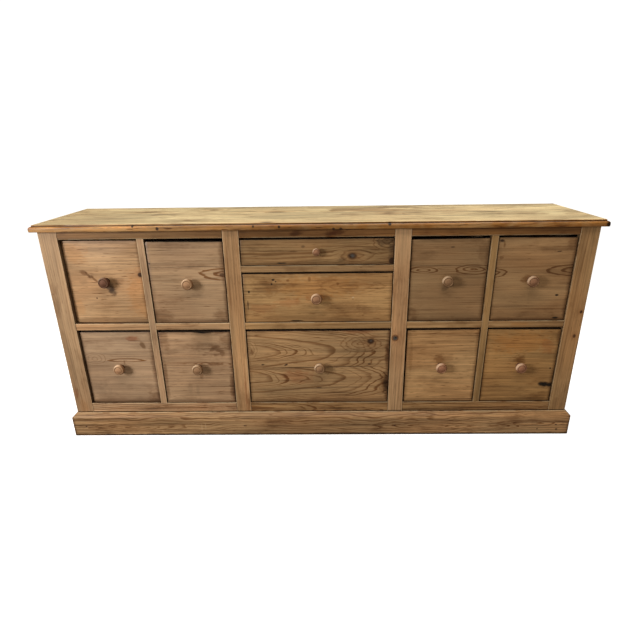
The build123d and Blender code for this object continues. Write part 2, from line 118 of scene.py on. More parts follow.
# Noises in the wood: how often they turn in a metre along the grain, across it and in depth
SLOW_BEND = (1.6, 3, 3)
QUICK_BEND = (4, 11, 11)
FINE_BEND = (10, 90, 90)
BLUSH = (2.2, 6, 6)
FIBRES = (14, 420, 420)
CLOUDS = (3, 8, 8)
STREAKS = (1.4, 60, 34)
MIDDLING = (5, 170, 110)
THREADS = (1.6, 130, 70)
THREAD_PATCHES = (4.5, 13, 13)
BLOTCHES = (7, 16, 16)
TICKS = (45, 700, 700)
DASHES = (20, 260, 200)
RAGGED = (60, 110, 110)
COARSE = (24, 34, 34)
UNEVEN = (16, 22, 22)

# How far a seed moves the noises of a board and of a knob
SEED_SHIFT = (7.31, 3.17, 5.71)
KNOB_SHIFT = (1.7, 0.9, 2.3)

# Worm and nail holes are longer across the grain
HOLE_STRETCH = (1, 0.4, 1)
BUMP_DEPTH = 0.4 * MM
# Edges with neither grime nor rubbing
UNTOUCHED = (0, 0, 0, 0)


class Nodes:
    """A material's node tree, built from short calls."""

    def __init__(self, name):
        self.material = bpy.data.materials.new(name)
        self.material.use_nodes = True
        self.tree = self.material.node_tree
        self.tree.nodes.clear()

    def put(self, socket, value):
        if isinstance(value, bpy.types.NodeSocket):
            self.tree.links.new(value, socket)
        elif socket.type == "RGBA" and len(value) == 3:
            socket.default_value = (*value, 1)
        else:
            socket.default_value = value

    def node(self, kind, values=(), **settings):
        """A node with its settings and the values of its inputs, by number or name."""
        made = self.tree.nodes.new(kind)
        for key, value in settings.items():
            setattr(made, key, value)
        for key, value in dict(values).items():
            self.put(made.inputs[key], value)
        return made

    def coordinates(self):
        return self.node("ShaderNodeTexCoord").outputs

    def math(self, operation, *values):
        return self.node("ShaderNodeMath", enumerate(values), operation=operation).outputs[0]

    def add(self, a, b):
        return self.math("ADD", a, b)

    def sub(self, a, b):
        return self.math("SUBTRACT", a, b)

    def mul(self, a, b):
        return self.math("MULTIPLY", a, b)

    def madd(self, a, b, c):
        return self.math("MULTIPLY_ADD", a, b, c)

    def hypot(self, a, b):
        return self.math("SQRT", self.add(self.mul(a, a), self.mul(b, b)))

    def vector(self, operation, *values):
        made = self.node("ShaderNodeVectorMath", enumerate(values), operation=operation)
        return made.outputs["Value" if operation == "LENGTH" else 0]

    def combine(self, *values):
        return self.node("ShaderNodeCombineXYZ", enumerate(values)).outputs[0]

    def separate(self, vector):
        return self.node("ShaderNodeSeparateXYZ", {0: vector}).outputs

    def noise(self, vector, stretch, detail=2, roughness=0.5):
        place = self.vector("MULTIPLY", vector, stretch)
        values = {"Vector": place, "Scale": 1, "Detail": detail, "Roughness": roughness}
        return self.node("ShaderNodeTexNoise", values).outputs["Fac"]

    def noise_of(self, value, detail=1):
        values = {"W": value, "Scale": 1, "Detail": detail}
        return self.node("ShaderNodeTexNoise", values, noise_dimensions="1D").outputs["Fac"]

    def smooth(self, value, low, high, to_low=0, to_high=1):
        values = {"Value": value, "From Min": low, "From Max": high, "To Min": to_low, "To Max": to_high}
        return self.node("ShaderNodeMapRange", values, interpolation_type="SMOOTHSTEP").outputs[0]

    def band(self, turns, low, high, fall):
        """Once in every turn, rises from low to high and falls away from fall to the end."""
        value = self.math("FRACT", turns)
        return self.mul(self.smooth(value, low, high), self.smooth(value, fall, 1, 1, 0))

    def bell(self, value, width):
        """1 where the value is 0, and near 0 beyond twice the width."""
        scaled = self.mul(value, 1 / width)
        return self.math("EXPONENT", self.mul(self.mul(scaled, scaled), -1))

    def mix(self, factor, a, b, blend="MIX"):
        return self.node("ShaderNodeMix", {0: factor, 6: a, 7: b}, data_type="RGBA", blend_type=blend).outputs[2]

    def tint(self, factor, colour, tint):
        return self.mix(factor, colour, tint, "MULTIPLY")

    def finish(self, colour, roughness, height, bump=0.35, specular=0.32, glow=0):
        relief = self.node("ShaderNodeBump", {"Strength": bump, "Distance": BUMP_DEPTH, "Height": height})
        shader = self.node("ShaderNodeBsdfPrincipled", {
            "Base Color": colour, "Roughness": roughness, "Specular IOR Level": specular, "Normal": relief.outputs[0]})
        if glow:
            self.put(shader.inputs["Emission Color"], WHITE)
            self.put(shader.inputs["Emission Strength"], glow)
        self.node("ShaderNodeOutputMaterial", {"Surface": shader.outputs[0]})
        return self.material


def shade_faces(n, colour, shade, normal, place, half_v, uneven):
    """Dirt and painted shade on the faces of fronts and frame members turned away from the front, varnish with a
    painted light falloff, a painted highlight and a painted shade line on the top's moulding, and a painted highlight
    on the plinth's bevel. Gives the colour, and where the fronts' painted shade makes them dull.
    """
    u, v, w = place
    face_x, _, face_z = n.separate(normal)
    side = n.math("ABSOLUTE", face_x)
    flat = n.math("ABSOLUTE", face_z)
    shade_and_dull = 0
    if shade == "front":
        # Drawer fronts: their ends, and the top and bottom edges seen in the gaps, darkened: dirt and painted shade of
        # the gaps; these flats are also made duller
        colour = n.tint(n.smooth(side, 0.4, 0.9, 0, 0.85), colour, FRONT_END_DIRT_AND_SHADE)
        shade_and_dull = n.smooth(flat, 0.4, 0.9, 0, 0.9)
        colour = n.tint(shade_and_dull, colour, FRONT_FLAT_DIRT_AND_SHADE)
    elif shade == "frame":
        # Frame members' side, top and bottom faces inside the openings darkened: dirt, and painted shade of the
        # openings
        dirt = n.math("MAXIMUM", n.smooth(side, 0.45, 0.9, 0, 0.75), n.smooth(flat, 0.5, 0.92, 0, 0.9))
        colour = n.tint(dirt, colour, FRAME_DIRT_AND_SHADE)
    elif shade == "top":
        below = n.smooth(w, TOP_HALF - 2.2 * MM, TOP_HALF - 1.2 * MM, 1, 0)
        varnish = n.math("MAXIMUM", n.smooth(face_z, 0.6, 0.97, 1, 0), below)
        varnish = n.mul(varnish, n.smooth(uneven, 0.3, 0.62, 0.8, 1))
        # The moulding's varnish colour is painted lighter at the left end than at the right: a painted light falloff
        # from the left
        falloff_to_right = n.smooth(u, -0.7, 0)
        colour = n.tint(varnish, colour, n.mix(falloff_to_right, MOULDING_VARNISH_LIT_LEFT, MOULDING_VARNISH_SHADED_RIGHT))
        at_front = n.smooth(v, -half_v + 14 * MM, -half_v + 10 * MM)
        # A painted highlight along the moulding's upper round, just under the quirk, weaker towards the right
        lip_highlight = n.bell(n.sub(w, TOP_HALF - TOP_QUIRK - 3.4 * MM), 1.9 * MM)
        lip_highlight = n.mul(n.mul(lip_highlight, at_front), n.smooth(uneven, 0.36, 0.55, 0.35, 1))
        colour = n.tint(n.mul(lip_highlight, n.madd(falloff_to_right, -0.4, 1)), colour, MOULDING_PAINTED_HIGHLIGHT)
        # A painted shade line in the quirk, where the top steps down to the moulding
        quirk_shade = n.bell(n.sub(w, TOP_HALF - TOP_QUIRK + 0.6 * MM), 1.9 * MM)
        colour = n.tint(n.mul(n.mul(quirk_shade, at_front), 0.95), colour, QUIRK_PAINTED_SHADE)
    elif shade == "plinth":
        # Upward faces of the plinth's bevel painted lighter: a painted highlight from the light above
        colour = n.tint(n.smooth(face_z, 0.15, 0.5), colour, PLINTH_BEVEL_HIGHLIGHT)
    return colour, shade_and_dull


def wood(name, axes, centre, half, seed, tone=1, warm=0, grey=0, contrast=0.55, spacing=8, onset=0.4,
         faint=0.15, early=EARLY, pith=(500, 100), tilt=0.05, wave=8, broad=0.75, streak=0.7, lines=0.3, mid=0.5,
         dash=0.35, dots=(), knots=(), figures=(), marks=(), edge=UNTOUCHED, edge_width=9, rub_and_highlight=UNTOUCHED, blotch=0.4,
         blush=0.5, rough=0.46, lower=None, lanes=None, shade=None):
    """Old waxed pine. axes gives the grain, face and depth directions; centre and half, in metres, are the board's
    middle, and its half length along the grain and half width across it. Other lengths are in millimetres, and
    places are counted from the middle, along the grain and across it.

    edge and rub_and_highlight: per cent at the start and end of the grain, and at the low and high side;
    rub_and_highlight paints the arrises paler, partly wear and partly a painted highlight
    knots: place, radius, stretch, how far the rings bend, darkness
    figures: place, half length, half height, number of loops, strength
    marks: a kind, and for each mark its place, half length, half height, strength and raggedness in per cent, and
        slope if there is any
    dots: place, depth, radius
    lower: height of a joint, and pith and tilt of the board under it
    lanes: start and width, in metres, of boards side by side"""
    spacing, wave, edge_width = spacing * MM, wave * MM, edge_width * MM
    n = Nodes(name)
    coords = n.coordinates()
    parts = dict(zip("xyz", n.separate(n.vector("SUBTRACT", coords["Object"], tuple(centre)))))
    u, v, w = (parts[axis] for axis in axes)
    shift = tuple(seed * part for part in SEED_SHIFT)
    lane_tone = None
    if lanes:
        start, pitch = lanes
        lane = n.math("FLOOR", n.math("DIVIDE", n.sub(v, start), pitch))
        v = n.sub(v, n.madd(lane, pitch, start + pitch / 2))
        moved = n.mul(lane, 3.71)
        shift = n.combine(n.add(moved, shift[0]), shift[1], moved)
        lane_tone = n.noise_of(n.madd(lane, 1.37, seed))
    grain = n.vector("ADD", n.combine(u, v, w), shift)

    def reach_from(at_u, at_v, wide, tall, slope=0):
        """How far a point is from a place, with 1 on the rim of the ellipse round it."""
        du = n.sub(u, at_u * MM)
        dv = n.sub(v, at_v * MM)
        if slope:
            dv = n.madd(du, -slope, dv)
        return n.hypot(n.mul(du, 1 / (wide * MM)), n.mul(dv, 1 / (tall * MM)))

    # Growth rings, bent round knots
    slow = n.sub(n.noise(grain, SLOW_BEND, 1), 0.5)
    quick = n.sub(n.noise(grain, QUICK_BEND), 0.5)
    fine = n.sub(n.noise(grain, FINE_BEND), 0.5)
    pith_v, pith_w = (part * MM for part in pith)
    if lower:
        split, low_pith_v, low_pith_w = (part * MM for part in lower[:3])
        under = n.math("LESS_THAN", v, split)
        pith_v = n.madd(under, low_pith_v - pith_v, pith_v)
        pith_w = n.madd(under, low_pith_w - pith_w, pith_w)
        tilt = n.madd(under, lower[3] - tilt, tilt)
        grain = n.vector("ADD", grain, n.combine(n.mul(under, 2.3), 0, 0))
    across = n.madd(slow, 2 * wave, n.madd(quick, 0.7 * wave, n.sub(v, pith_v)))
    deep = n.madd(quick, 1.6 * wave, n.sub(n.sub(w, pith_w), n.mul(u, tilt)))
    ring = n.madd(fine, 0.3 * spacing, n.hypot(across, deep))
    ring = n.madd(n.noise_of(n.madd(ring, 22, seed), 2), 5 * spacing, ring)
    knot_fields = []
    for at_u, at_v, radius, stretch, bend, dark in knots:
        radius *= MM
        away = n.hypot(n.mul(n.sub(u, at_u * MM), 1 / stretch), n.sub(v, at_v * MM))
        away = n.madd(quick, 0.9 * radius, away)
        ring = n.madd(n.bell(away, 2.6 * radius), bend * MM, ring)
        knot_fields.append((away, radius, dark))
    turn = n.mul(ring, 1 / spacing)
    year = n.math("FLOOR", turn)
    late = n.band(turn, onset, 0.9, 0.93)
    late = n.mul(late, n.smooth(n.noise_of(n.madd(year, 0.43, seed), 2), 0.38, 0.66, faint, 1))
    ink = n.mul(late, contrast)
    for *place, count, strength in figures:
        reach = n.madd(quick, 0.6, n.madd(fine, 0.45, reach_from(*place)))
        loop = n.band(n.mul(reach, count), 0.5, 0.88, 0.92)
        window = n.smooth(reach, 0.98, 1.1, 1, 0)
        ink = n.madd(n.mul(loop, window), strength, n.mul(ink, n.sub(1, n.mul(window, 0.7))))

    # Colour
    colour = n.mix(n.smooth(n.noise(grain, BLUSH, 3), 0.35, 0.7, 0, blush), early, RED_PINE)
    colour = n.mix(grey, colour, GREY_PINE)
    colour = n.mix(n.math("MINIMUM", ink, 1), colour, LATE)
    fibres = n.noise(grain, FIBRES)
    clouds = n.noise(grain, CLOUDS, 3)
    streaks = n.noise(grain, STREAKS, 3, 0.6)
    middling = n.noise(grain, MIDDLING, 3, 0.6)
    light = n.madd(clouds, broad, n.madd(streaks, streak, 0.85 - 0.5 * (broad + streak + mid)))
    light = n.madd(fibres, 0.3, n.madd(middling, mid, light))
    if lane_tone is not None:
        light = n.mul(light, n.madd(lane_tone, 0.9, 0.55))
    light = n.mul(light, tone)
    warmth = n.combine(n.mul(light, 1 + 0.05 * warm), light, n.mul(light, 1 - 0.22 * warm))
    colour = n.tint(1, colour, warmth)
    threads = n.smooth(n.noise(grain, THREADS), 0.58, 0.68)
    threads = n.mul(threads, n.smooth(n.noise(grain, THREAD_PATCHES), 0.42, 0.62))
    blotches = n.smooth(n.noise(grain, BLOTCHES, 5, 0.62), 0.5, 0.74)
    ticks = n.smooth(n.noise(grain, TICKS, 1), 0.66, 0.78)
    dashes = n.smooth(n.noise(grain, DASHES), 0.6, 0.72)
    for stain, strength in ((threads, lines), (blotches, blotch), (ticks, 0.4), (dashes, dash)):
        colour = n.tint(n.mul(stain, strength), colour, STAIN)

    # Knots
    for away, radius, dark in knot_fields:
        core = n.smooth(away, 0.7 * radius, 1.12 * radius, 1, 0)
        rings = n.math("FRACT", n.mul(away, 1 / (0.24 * radius)))
        heart = n.mix(n.mul(rings, 0.6), n.mix(dark, KNOT_BROWN, KNOT_DARK), KNOT_BROWN)
        colour = n.mix(n.mul(core, 0.45 + 0.5 * dark), colour, heart)
        rim = n.bell(n.sub(away, radius), 0.3 * radius)
        colour = n.mix(n.mul(rim, 0.75 * dark), colour, KNOT_DARK)
        colour = n.tint(n.mul(n.bell(away, 2.4 * radius), 0.6), colour, KNOT_HALO)

    # Marks, stains and holes
    pits = 0
    ragged = n.sub(n.noise(grain, RAGGED, 3), 0.5)
    coarse = n.sub(n.noise(grain, COARSE, 3), 0.5)
    for kind, *places in marks:
        blend, pigment = MARK_KINDS[kind]
        for at_u, at_v, wide, tall, strength, mottle, *slope in places:
            mottle /= 100
            reach = n.madd(ragged, 0.4 + 1.5 * mottle, reach_from(at_u, at_v, wide, tall, *slope))
            stain = n.smooth(n.madd(coarse, 2.2 * mottle, reach), 0.35, 1.05, 1, 0)
            colour = n.mix(n.mul(stain, strength / 100), colour, pigment, blend)
            if kind == "black":
                pits = n.add(pits, stain)
    for *place, radius in dots:
        radius *= MM
        away = n.vector("SUBTRACT", n.combine(u, v, w), tuple(part * MM for part in place))
        away = n.vector("LENGTH", n.vector("MULTIPLY", away, HOLE_STRETCH))
        hole = n.smooth(n.madd(ragged, 0.8 * radius, away), 0.6 * radius, 1.1 * radius, 0.95, 0)
        colour = n.mix(hole, colour, KNOT_DARK)
        pits = n.add(pits, hole)

    # Grime along the edges, and arrises rubbed clean and paler: partly wear, partly a painted highlight where they
    # catch the light
    half_u, half_v = half
    gaps = (n.add(u, half_u), n.sub(half_u, u), n.add(v, half_v), n.sub(half_v, v))
    uneven = n.noise(grain, UNEVEN, 4, 0.6)
    grime = 0
    for gap, strength in zip(gaps, edge):
        if strength:
            share = n.math("DIVIDE", gap, n.madd(uneven, 2.6 * edge_width, 0.1 * edge_width))
            grime = n.math("MAXIMUM", grime, n.mul(n.smooth(share, 0, 1, 1, 0), strength / 100))
    colour = n.tint(grime, colour, GRIME)
    for gap, strength in zip(gaps, rub_and_highlight):
        if strength:
            rubbed_and_lit = n.smooth(gap, 1.2 * MM, 4.2 * MM, strength / 100, 0)
            rubbed_and_lit = n.mul(rubbed_and_lit, n.smooth(uneven, 0.33, 0.55))
            colour = n.mix(rubbed_and_lit, colour, n.tint(1, PALE, (tone, tone, tone)))
    shade_and_dull = 0
    if shade:
        colour, shade_and_dull = shade_faces(n, colour, shade, coords["Normal"], (u, v, w), half_v, uneven)

    rough = n.madd(n.sub(clouds, 0.5), 0.3, n.madd(late, -0.06, n.madd(shade_and_dull, 0.5, rough)))
    height = n.madd(late, 0.45, n.madd(fibres, 0.35, n.madd(streaks, 0.5, n.mul(clouds, 0.9))))
    return n.finish(colour, rough, n.madd(pits, -3, n.madd(ticks, -0.5, height)))


# Pieces
def new_piece(name, mesh, body, replaced, material):
    """A finished piece of the object, riding on its body and standing for a CAD node."""
    piece = bpy.data.objects.new(name, mesh)
    scene.collection.objects.link(piece)
    mesh.materials.append(material)
    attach(piece, body)
    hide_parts(replaced)


def middle_and_half(low, high, axes):
    """The middle of a box, and its half length along the grain and half width across it."""
    middle = [(low[i] + high[i]) / 2 for i in range(3)]
    return middle, [(high[i] - low[i]) / 2 for i in ("xyz".index(axis) for axis in axes[:2])]


def on_arris(normal, least=0.12):
    """Whether a surface is turned between two faces of a board."""
    return sum(abs(part) > least for part in normal) > 1


def rub_at(place, often, seed):
    return noise.noise(place * often + Vector((seed, 0, 0))) * 0.5 + 0.5


def dent_at(place, often, seed, least):
    return max(0, noise.noise(place * often + Vector((0, seed, 0))) - least)


def grid_lines(low, high, radius, step):
    """Places along one edge of a board: close together at its rounded ends, so that its flats shade flat, and a
    step apart between them."""
    span = high - low - 5 * radius
    count = max(1, round(span / step))
    inner = [low + 2.5 * radius + span * i / count for i in range(count + 1)]
    return [low, low + 0.4 * radius, low + radius] + inner + [high - radius, high - 0.4 * radius, high]


def worn_box(bm, low, high, steps, seed):
    """A board with rounded, unevenly worn arrises, added to a mesh."""
    radius, wear = FRAME_ARRIS, FRAME_WEAR
    lines = [grid_lines(low[i], high[i], radius, steps[i]) for i in range(3)]
    made = {}

    def corner(index):
        if index in made:
            return made[index]
        flat = Vector([lines[i][index[i]] for i in range(3)])
        core = Vector([min(max(flat[i], low[i] + radius), high[i] - radius) for i in range(3)])
        place = flat
        if (flat - core).length > 0:
            outward = (flat - core).normalized()
            place = core + outward * radius
            if on_arris(outward, 0.05):
                dent = dent_at(flat, 61, seed, 0.35)
                place = place - outward * (wear * rub_at(flat, 23, seed) + 2.2 * wear * dent)
            else:
                place = place + outward * 0.12 * wear * noise.noise(flat * 11 + Vector((0, 0, seed)))
        made[index] = bm.verts.new(place)
        return made[index]

    sizes = [len(line) for line in lines]
    for axis in range(3):
        first, second = (axis + 1) % 3, (axis + 2) % 3
        for end, i, j in product((0, sizes[axis] - 1), range(sizes[first] - 1), range(sizes[second] - 1)):
            ring = []
            for di, dj in ((0, 0), (1, 0), (1, 1), (0, 1)):
                index = [0, 0, 0]
                index[axis], index[first], index[second] = end, i + di, j + dj
                ring.append(corner(tuple(index)))
            bm.faces.new(ring if end else ring[::-1])


def board_mesh(name, boxes, seed):
    bm = bmesh.new()
    for low, high in boxes:
        spans = [high[i] - low[i] for i in range(3)]
        longest = spans.index(max(spans))
        steps = [BOARD_STEP if i == longest else max(spans[i] / 3, LEAST_STEP) for i in range(3)]
        worn_box(bm, low, high, steps, seed)
    mesh = bpy.data.meshes.new(name)
    bm.to_mesh(mesh)
    bm.free()
    for polygon in mesh.polygons:
        polygon.use_smooth = True
    return mesh


def frame_member(name, node, boxes, axes, spec, seed):
    """A stile, rail or muntin of the face frame, made of one or more boards in line."""
    low = [min(box[0][i] for box in boxes) for i in range(3)]
    high = [max(box[1][i] for box in boxes) for i in range(3)]
    material = wood(name + "_pine", axes, *middle_and_half(low, high, axes), seed, **spec)
    new_piece(name, board_mesh(name, boxes, seed), "case", node, material)


def cad_parts(node):
    """The separate solids of a CAD node. Its faces come solid by solid, and each solid closes on itself."""
    mesh = nodes[node].data
    keys = [tuple(round(part, 6) for part in vert.co) for vert in mesh.vertices]
    parts = []
    open_edges = set()
    part = None
    for polygon in mesh.polygons:
        if part is None:
            part = bmesh.new()
            made = {}
        corners = [keys[index] for index in polygon.vertices]
        if len(set(corners)) == len(corners):
            for corner in corners:
                if corner not in made:
                    made[corner] = part.verts.new(corner)
            part.faces.new([made[corner] for corner in corners])
            for one, other in zip(corners, corners[1:] + corners[:1]):
                open_edges ^= {frozenset((one, other))}
        if not open_edges:
            parts.append(part)
            part = None
    return parts


def spread(bm):
    low = [min(vert.co[i] for vert in bm.verts) for i in range(3)]
    high = [max(vert.co[i] for vert in bm.verts) for i in range(3)]
    return low, high


def cad_board(node):
    """A CAD board with its flat faces whole, its box, and the edges where its faces meet."""
    bm = cad_parts(node)[0]
    bmesh.ops.dissolve_limit(bm, angle_limit=FLAT_ANGLE, verts=bm.verts, edges=bm.edges)
    arrises = [edge for edge in bm.edges if len(edge.link_faces) == 2 and edge.calc_face_angle(0) >= ARRIS_ANGLE]
    return bm, *spread(bm), arrises


def soften(bm, edges, radius):
    bmesh.ops.bevel(bm, geom=edges, offset=radius, segments=BEVEL_SEGMENTS, profile=0.5, affect="EDGES",
                    clamp_overlap=True)


def cut_along(bm, axis, step):
    """Cuts a mesh across, so that its long faces can follow small wear."""
    low, high = spread(bm)
    count = max(1, round((high[axis] - low[axis]) / step))
    normal = Vector((0, 0, 0))
    normal[axis] = 1
    for i in range(1, count):
        place = Vector((0, 0, 0))
        place[axis] = low[axis] + (high[axis] - low[axis]) * i / count
        geometry = bm.verts[:] + bm.edges[:] + bm.faces[:]
        bmesh.ops.bisect_plane(bm, geom=geometry, plane_co=place, plane_no=normal, dist=MERGE)
    bm.normal_update()


def smooth_mesh(bm, name):
    mesh = bpy.data.meshes.new(name)
    bmesh.ops.recalc_face_normals(bm, faces=bm.faces)
    for edge in bm.edges:
        edge.smooth = len(edge.link_faces) == 2 and edge.calc_face_angle(0) < SMOOTH_ANGLE
    for face in bm.faces:
        face.smooth = True
    bm.to_mesh(mesh)
    bm.free()
    return mesh


# Face frame
STILE = dict(mid=0.8, dash=0.4, contrast=0.5, spacing=7, pith=(130, 50), tilt=0.03, wave=10, edge=(0, 0, 12, 12),
             edge_width=2, blotch=0.5, broad=1.1, streak=1, shade="frame", rub_and_highlight=(0, 0, 50, 50))
RAIL = dict(mid=0.9, dash=0.5, contrast=0.6, spacing=7, pith=(120, 50), tilt=0.03, wave=10, edge=(50, 50, 30, 15),
            edge_width=3, blotch=0.55, broad=1, streak=1.2, shade="frame", rub_and_highlight=(0, 0, 0, 75))
TOP_RAIL = dict(RAIL, edge=(50, 50, 0, 50), rub_and_highlight=(0, 0, 70, 0))

# The dark line where the plinth meets the frame
PLINTH_LINE = ("dark", (-321.5, 0, 4.5, 1000, 90, 10))
PLINTH_LINE_ON_RAIL = ("dark", (0, -1, 5000, 4.5, 90, 10))
stile_specs = {
    "left_corner_stile": dict(
        STILE, warm=-0.25, grey=0.25, marks=(
            PLINTH_LINE, ("red", (-230, -22, 30, 10, 60, 30)), ("brown", (190, -26, 6, 4, 60, 20)),
            ("orange", (-300, 0, 50, 20, 35, 40)), ("brown", (100, 20, 200, 4, 30, 30)))),
    "left_main_stile": dict(
        STILE, tone=1.14, warm=-0.1, marks=(
            PLINTH_LINE, ("red", (-220, 14, 140, 7, 55, 30)), ("brown", (-300, 20, 60, 6, 60, 30),
             (200, -18, 160, 5, 35, 30), (-260, 24, 50, 4, 60, 30)))),
    "right_main_stile": dict(
        STILE, tone=1.25, warm=-0.35, knots=((2, -12, 8, 1, 16, 0.8),), figures=((2, -12, 22, 20, 1.4, 0.9),),
        marks=(PLINTH_LINE, ("slate", (2, -12, 12, 11, 85, 40)), ("black", (4, -10, 5, 4, 80, 50)))),
    "right_corner_stile": dict(
        STILE, tone=1.11, warm=0.25, streak=0.6, knots=((103, 22, 4, 1.2, 6, 0.9), (5, 14, 5, 1.4, 8, 0.7)),
        marks=(PLINTH_LINE, ("brown", (-300, 0, 50, 30, 40, 40)))),
}
muntin_specs = {
    "left_muntin": dict(STILE, tone=1.19, warm=-0.5, grey=0.3),
    "right_muntin": dict(STILE, tone=0.91, warm=0.7),
}


def upright(node, spec, seed, tenon):
    """A stile or muntin. Gives its left and right side."""
    low, high = (list(corner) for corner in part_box(node))
    low[2] += tenon
    high[2] -= tenon
    frame_member(node + "_board", node, [(low, high)], "zxy", spec, seed)
    return low[0], high[0]


for seed, (node, spec) in enumerate(stile_specs.items(), 11):
    upright(node, spec, seed, 0)
muntin_spans = {}
for seed, (node, spec) in enumerate(muntin_specs.items(), 21):
    muntin_spans[node] = upright(node, spec, seed, MUNTIN_TENON)

# The top rails, under the top's overhang, are given low tones and darker, warmer early colours: painted shadow of the
# overhang
bank_specs = {
    "left_bank_rails": ("left_muntin", {
        "bottom": dict(
            RAIL, tone=1.22, warm=-0.7, contrast=1.2, mid=1.5, dash=0.8, faint=0.4,
            marks=(PLINTH_LINE_ON_RAIL, ("brown", (100, 16, 240, 12, 50, 50)))),
        "middle": dict(RAIL, tone=1.3, warm=-0.4),
        "top": dict(TOP_RAIL, early=OVERHANG_SHADED_PINE, tone=0.6, warm=0.8, marks=(("brown", (-20, 11, 100, 3, 80, 30)),)),
    }),
    "centre_bank_rails": (None, {
        "bottom": dict(
            RAIL, tone=0.87, warm=0.4, contrast=1.5, onset=0.5, mid=2.3, dash=1, spacing=9, pith=(10, 30), tilt=0.05,
            wave=14, figures=((-140, 0, 160, 13, 3, 1.2), (110, 2, 140, 12, 3, 1.2)), marks=(PLINTH_LINE_ON_RAIL,)),
        "middle": dict(RAIL, tone=0.98, warm=0.45),
        "upper": dict(RAIL, tone=0.76, warm=0.2, marks=(("brown", (160, 3, 6, 3, 70, 20)),)),
        "top": dict(
            TOP_RAIL, early=RED_PINE, tone=0.62, warm=0.8, marks=(
                ("brown", (-75, 0, 34, 14, 95, 30, 0.2), (60, 0, 50, 14, 100, 30, 0.1)),
                ("red", (60, 0, 20, 7, 60, 30, 0.1)), ("dark", (100, 13, 90, 4, 85, 30)))),
    }),
    "right_bank_rails": ("right_muntin", {
        "bottom": dict(
            RAIL, tone=0.97, warm=0.4, contrast=1.4, mid=2, dash=1, faint=0.4,
            marks=(PLINTH_LINE_ON_RAIL, ("brown", (-20, 12, 100, 12, 40, 50)))),
        "middle": dict(
            RAIL, warm=0.3, marks=(("orange", (130, 0, 50, 10, 50, 40)), ("brown", (-10, -6, 50, 8, 50, 40)))),
        "top": dict(TOP_RAIL, early=RED_PINE, tone=0.63, warm=0.9, marks=(("brown", (20, 11, 160, 4, 70, 30)),)),
    }),
}
rail_levels = {}
for bank, (node, (muntin, specs)) in enumerate(bank_specs.items()):
    rails = sorted(cad_parts(node), key=lambda rail: spread(rail)[0][2])
    for seed, (part, (level, spec)) in enumerate(zip(rails, specs.items()), 31 + 5 * bank):
        face = [vert.co for vert in part.verts if abs(vert.co[1] - CASE_FRONT) < NEAR]
        low = [min(co[0] for co in face), CASE_FRONT, min(co[2] for co in face)]
        high = [max(co[0] for co in face), FRAME_BACK, max(co[2] for co in face)]
        part.free()
        rail_levels[node.split("_")[0], level] = (low[2], high[2])
        boxes = [(low, high)]
        if muntin and level == "middle":
            left, right = muntin_spans[muntin]
            boxes = [(low, [left, high[1], high[2]]), ([right, low[1], low[2]], high)]
        frame_member(node.replace("bank_rails", level + "_rail_board"), node, boxes, "xzy", spec, seed)


# Boards that keep their CAD shape, with softened arrises
def wear_down(bm, seed):
    """Rubs and dents the arrises of a mesh."""
    for vert in bm.verts:
        if on_arris(vert.normal):
            dent = dent_at(vert.co, 47, seed, 0.3)
            vert.co -= vert.normal * (BOARD_WEAR * rub_at(vert.co, 19, seed) + 2.4 * BOARD_WEAR * dent)


def kept_shape(node, ending, axes, spec, seed, radius, worn=True):
    name = node + ending
    bm, low, high, arrises = cad_board(node)

    def outer(vert):
        return any(abs(vert.co[i] - limit[i]) < NEAR for i in range(3) for limit in (low, high))

    soften(bm, [edge for edge in arrises if edge.is_convex and edge.calc_length() > 12 * MM
                and all(outer(vert) for vert in edge.verts)], radius)
    if worn:
        cut_along(bm, "xyz".index(axes[0]), BOARD_STEP)
        wear_down(bm, seed)
    material = wood(name + "_pine", axes, *middle_and_half(low, high, axes), seed, **spec)
    new_piece(name, smooth_mesh(bm, name), "case", node, material)


TOP = dict(early=(0.57, 0.445, 0.235), blush=0.2, tone=1.12, contrast=0.6, spacing=12, faint=0.3, tilt=0.045, wave=30,
           rough=0.42, edge=(30, 30, 0, 0), edge_width=6, blotch=0.6, broad=0.8, streak=1.2, lines=0.95, mid=1.6,
           dash=1, shade="top")
TOP_SHEEN = ("lift", (750, 0, 600, 400, 90, 30))
TOP_FRONT = dict(
    TOP, pith=(50, -160),
    knots=((-473, -41, 5, 2, 8, 0.4), (-175, -105, 10, 2, 20, 0.6), (278, 76, 12, 1.6, 30, 0.5)),
    figures=((450, 30, 200, 30, 3, 0.35), (-720, 0, 220, 35, 3, 0.35), (100, -20, 150, 20, 2, 0.3)), dots=(
        (-647, -125, 6, 5), (-560, -125, -4, 7), (-222, -125, 1, 5), (-131, -125, -1, 6), (256, -125, 5, 7),
        (60, -125, -12, 7), (85, -125, -12, 8), (1014, -115, -4, 12)),
    marks=(TOP_SHEEN, ("dark", (-175, -105, 20, 5, 75, 40))))
TOP_BACK = dict(
    TOP, pith=(-20, -130),
    knots=((-680, -42, 12, 2.6, 30, 0.5), (-433, -3, 9, 2, 20, 0.8), (-167, -80, 12, 2.4, 30, 0.6)),
    figures=((650, 0, 250, 30, 3, 0.35), (50, 20, 200, 30, 2, 0.3)),
    marks=(TOP_SHEEN, ("brown", (274, 70, 30, 18, 80, 40))))
kept_shape("top_front_board", "_moulded", "xyz", TOP_FRONT, 51, BOARD_ARRIS)
kept_shape("top_back_board", "_moulded", "xyz", TOP_BACK, 52, BOARD_ARRIS)
PLINTH = dict(tone=0.97, contrast=0.95, spacing=7, faint=0.45, pith=(60, 50), tilt=0.012, wave=30,
              edge=(80, 85, 85, 10), blotch=0.7, broad=0.9, streak=1.6, lines=0.7, mid=1.5, dash=0.8,
              rub_and_highlight=(0, 0, 0, 60), shade="plinth")
